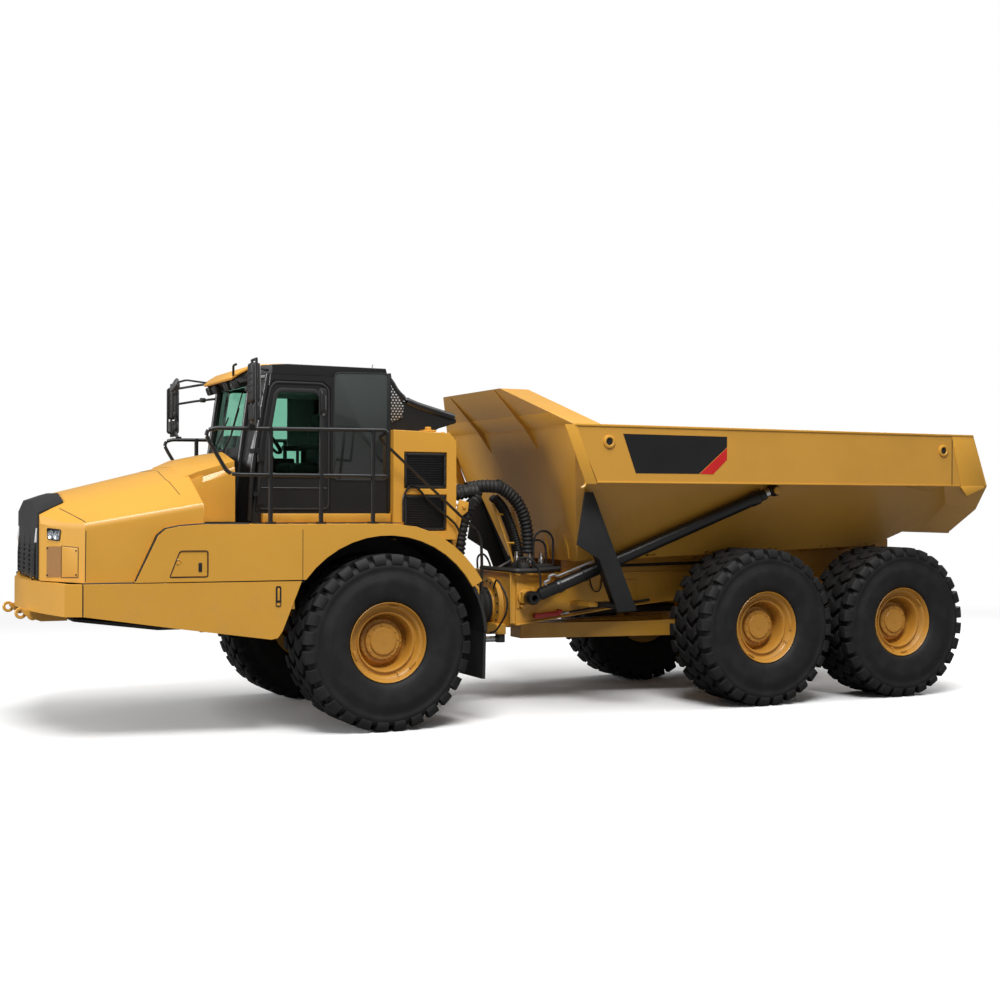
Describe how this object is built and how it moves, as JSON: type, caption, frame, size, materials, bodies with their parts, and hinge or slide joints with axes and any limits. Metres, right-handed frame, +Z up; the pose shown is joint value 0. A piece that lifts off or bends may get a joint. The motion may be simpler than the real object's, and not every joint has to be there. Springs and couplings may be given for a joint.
{
  "type": "articulated dump truck",
  "caption": "Hinged off-road hauler with a cab and hood in front, a tipping load body behind, and wheels on a driven bogie.",
  "frame": {"origin": "on the ground, at the middle of the overall box", "axes": "+X forward, +Y to the driver's left, +Z up"},
  "size_m": [11.2, 3.6056, 3.715],
  "materials": {
    "yellow_paint": "satin",
    "black_paint": "satin",
    "dark_iron": "matte",
    "tyre": "matte",
    "rubber": "matte",
    "plastic": "matte",
    "seat_cloth": "matte",
    "glass": "clear",
    "rod_steel": "satin"
  },
  "bodies": {
    "tractor": {"front_frame": "dark_iron", "front_axle": "yellow_paint", "engine_block": "dark_iron", "bumper": "yellow_paint", "side_skirt_left": "yellow_paint", "side_skirt_right": "yellow_paint", "fender_left": "yellow_paint", "fender_right": "yellow_paint", "mudflap_left": "rubber", "mudflap_right": "rubber", "cab_shell": "black_paint", "cab_roof": "black_paint", "windscreen": "glass", "quarter_glass": "glass", "side_glass": "glass", "rear_glass": "glass", "driver_seat": "seat_cloth", "driver_console": "plastic", "handrail_left": "black_paint", "handrail_right": "black_paint", "mirror_left": "black_paint", "mirror_right": "black_paint", "cooling_tower": "yellow_paint", "exhaust_shroud": "black_paint", "hitch_hose": "rubber"},
    "hood": {"hood": "yellow_paint", "grille": "plastic"},
    "cab_door": {"cab_door": "black_paint", "door_glass": "glass"},
    "service_door": {"service_door": "yellow_paint"},
    "hitch": {"hitch": "yellow_paint"},
    "rear_chassis": {"rear_frame": "yellow_paint", "middle_axle": "yellow_paint", "rear_axle": "yellow_paint", "bogie_beams": "yellow_paint", "mudguard_left": "black_paint", "mudguard_right": "black_paint"},
    "dump_body": {"dump_body": "yellow_paint"},
    "wheel_front_left": {"tyre_front_left": "tyre", "rim_front_left": "yellow_paint"},
    "wheel_front_right": {"tyre_front_right": "tyre", "rim_front_right": "yellow_paint"},
    "wheel_middle_left": {"tyre_middle_left": "tyre", "rim_middle_left": "yellow_paint"},
    "wheel_middle_right": {"tyre_middle_right": "tyre", "rim_middle_right": "yellow_paint"},
    "wheel_rear_left": {"tyre_rear_left": "tyre", "rim_rear_left": "yellow_paint"},
    "wheel_rear_right": {"tyre_rear_right": "tyre", "rim_rear_right": "yellow_paint"},
    "hoist_barrel_left": {"hoist_barrel_left": "black_paint"},
    "hoist_stage_left": {"hoist_stage_left": "rod_steel"},
    "hoist_rod_left": {"hoist_rod_left": "rod_steel"},
    "steering_barrel_left": {"steering_barrel_left": "black_paint"},
    "steering_rod_left": {"steering_rod_left": "rod_steel"},
    "hoist_barrel_right": {"hoist_barrel_right": "black_paint"},
    "hoist_stage_right": {"hoist_stage_right": "rod_steel"},
    "hoist_rod_right": {"hoist_rod_right": "rod_steel"},
    "steering_barrel_right": {"steering_barrel_right": "black_paint"},
    "steering_rod_right": {"steering_rod_right": "rod_steel"}
  },
  "joints": [
    {"name": "articulation", "type": "hinge", "parent": "tractor", "child": "hitch", "pos_m": [0.7, 0, 1.1], "axis": [0, 0, 1], "range_deg": [-45, 45], "deforming": ["hitch_hose"]},
    {"name": "oscillation", "type": "hinge", "parent": "hitch", "child": "rear_chassis", "pos_m": [0.283, 0, 1.1], "axis": [1, 0, 0], "range_deg": [-10, 10]},
    {"name": "dump", "type": "hinge", "parent": "rear_chassis", "child": "dump_body", "pos_m": [-4.9, 0, 1.4], "axis": [0, -1, 0], "range_deg": [0, 70]},
    {"name": "hood_tilt", "type": "hinge", "parent": "tractor", "child": "hood", "pos_m": [5.48, 0, 1.55], "axis": [0, 1, 0], "range_deg": [0, 60]},
    {"name": "cab_door_swing", "type": "hinge", "parent": "tractor", "child": "cab_door", "pos_m": [3.33, 0.904, 2.9], "axis": [0, 0, -1], "range_deg": [0, 45]},
    {"name": "service_door_swing", "type": "hinge", "parent": "tractor", "child": "service_door", "pos_m": [4.145, 1.5604, 1.825], "axis": [0.9976, -0.0686, 0], "range_deg": [0, 80]},
    {"name": "wheel_front_left_spin", "type": "hinge", "parent": "tractor", "child": "wheel_front_left", "pos_m": [2.2, 1.3435, 0.89], "axis": [0, 1, 0], "continuous": true},
    {"name": "wheel_front_right_spin", "type": "hinge", "parent": "tractor", "child": "wheel_front_right", "pos_m": [2.2, -1.3435, 0.89], "axis": [0, 1, 0], "continuous": true},
    {"name": "wheel_middle_left_spin", "type": "hinge", "parent": "rear_chassis", "child": "wheel_middle_left", "pos_m": [-2.39, 1.3435, 0.89], "axis": [0, 1, 0], "continuous": true},
    {"name": "wheel_middle_right_spin", "type": "hinge", "parent": "rear_chassis", "child": "wheel_middle_right", "pos_m": [-2.39, -1.3435, 0.89], "axis": [0, 1, 0], "continuous": true},
    {"name": "wheel_rear_left_spin", "type": "hinge", "parent": "rear_chassis", "child": "wheel_rear_left", "pos_m": [-4.356, 1.3435, 0.89], "axis": [0, 1, 0], "continuous": true},
    {"name": "wheel_rear_right_spin", "type": "hinge", "parent": "rear_chassis", "child": "wheel_rear_right", "pos_m": [-4.356, -1.3435, 0.89], "axis": [0, 1, 0], "continuous": true},
    {"name": "hoist_barrel_left_pivot", "type": "hinge", "parent": "rear_chassis", "child": "hoist_barrel_left", "pos_m": [0.13, 0.72, 1.23], "axis": [0.4639, 0.4085, 0.7861], "range_deg": [0, 7.64]},
    {"name": "hoist_stage_left_slide", "type": "slide", "parent": "hoist_barrel_left", "child": "hoist_stage_left", "axis": [-0.8853, 0.2465, 0.3943], "range_m": [0, 1.4219]},
    {"name": "hoist_rod_left_slide", "type": "slide", "parent": "hoist_stage_left", "child": "hoist_rod_left", "axis": [-0.8853, 0.2465, 0.3943], "range_m": [0, 1.4219]},
    {"name": "steering_barrel_left_pivot", "type": "hinge", "parent": "tractor", "child": "steering_barrel_left", "pos_m": [1.5, 0.33, 0.745], "axis": [0, 0, 1], "range_deg": [-14, 14]},
    {"name": "steering_rod_left_slide", "type": "slide", "parent": "steering_barrel_left", "child": "steering_rod_left", "axis": [-0.9997, -0.0254, 0], "range_m": [-0.235, 0.235]},
    {"name": "hoist_barrel_right_pivot", "type": "hinge", "parent": "rear_chassis", "child": "hoist_barrel_right", "pos_m": [0.13, -0.72, 1.23], "axis": [-0.4639, 0.4085, -0.7861], "range_deg": [0, 7.64]},
    {"name": "hoist_stage_right_slide", "type": "slide", "parent": "hoist_barrel_right", "child": "hoist_stage_right", "axis": [-0.8853, -0.2465, 0.3943], "range_m": [0, 1.4219]},
    {"name": "hoist_rod_right_slide", "type": "slide", "parent": "hoist_stage_right", "child": "hoist_rod_right", "axis": [-0.8853, -0.2465, 0.3943], "range_m": [0, 1.4219]},
    {"name": "steering_barrel_right_pivot", "type": "hinge", "parent": "tractor", "child": "steering_barrel_right", "pos_m": [1.5, -0.33, 0.745], "axis": [0, 0, 1], "range_deg": [-14, 14]},
    {"name": "steering_rod_right_slide", "type": "slide", "parent": "steering_barrel_right", "child": "steering_rod_right", "axis": [-0.9997, 0.0254, 0], "range_m": [-0.235, 0.235]}
  ],
  "couplings": [
    {"joint": "hoist_barrel_left_pivot", "follows": "dump", "ratio": 0.10841},
    {"joint": "hoist_stage_left_slide", "follows": "dump", "m_per_rad": 1.1634},
    {"joint": "hoist_rod_left_slide", "follows": "dump", "m_per_rad": 1.1634},
    {"joint": "steering_barrel_left_pivot", "follows": "articulation", "ratio": 0.299},
    {"joint": "steering_rod_left_slide", "follows": "articulation", "m_per_rad": 0.298},
    {"joint": "hoist_barrel_right_pivot", "follows": "dump", "ratio": 0.10841},
    {"joint": "hoist_stage_right_slide", "follows": "dump", "m_per_rad": 1.1634},
    {"joint": "hoist_rod_right_slide", "follows": "dump", "m_per_rad": 1.1634},
    {"joint": "steering_barrel_right_pivot", "follows": "articulation", "ratio": 0.299},
    {"joint": "steering_rod_right_slide", "follows": "articulation", "m_per_rad": -0.298}
  ]
}
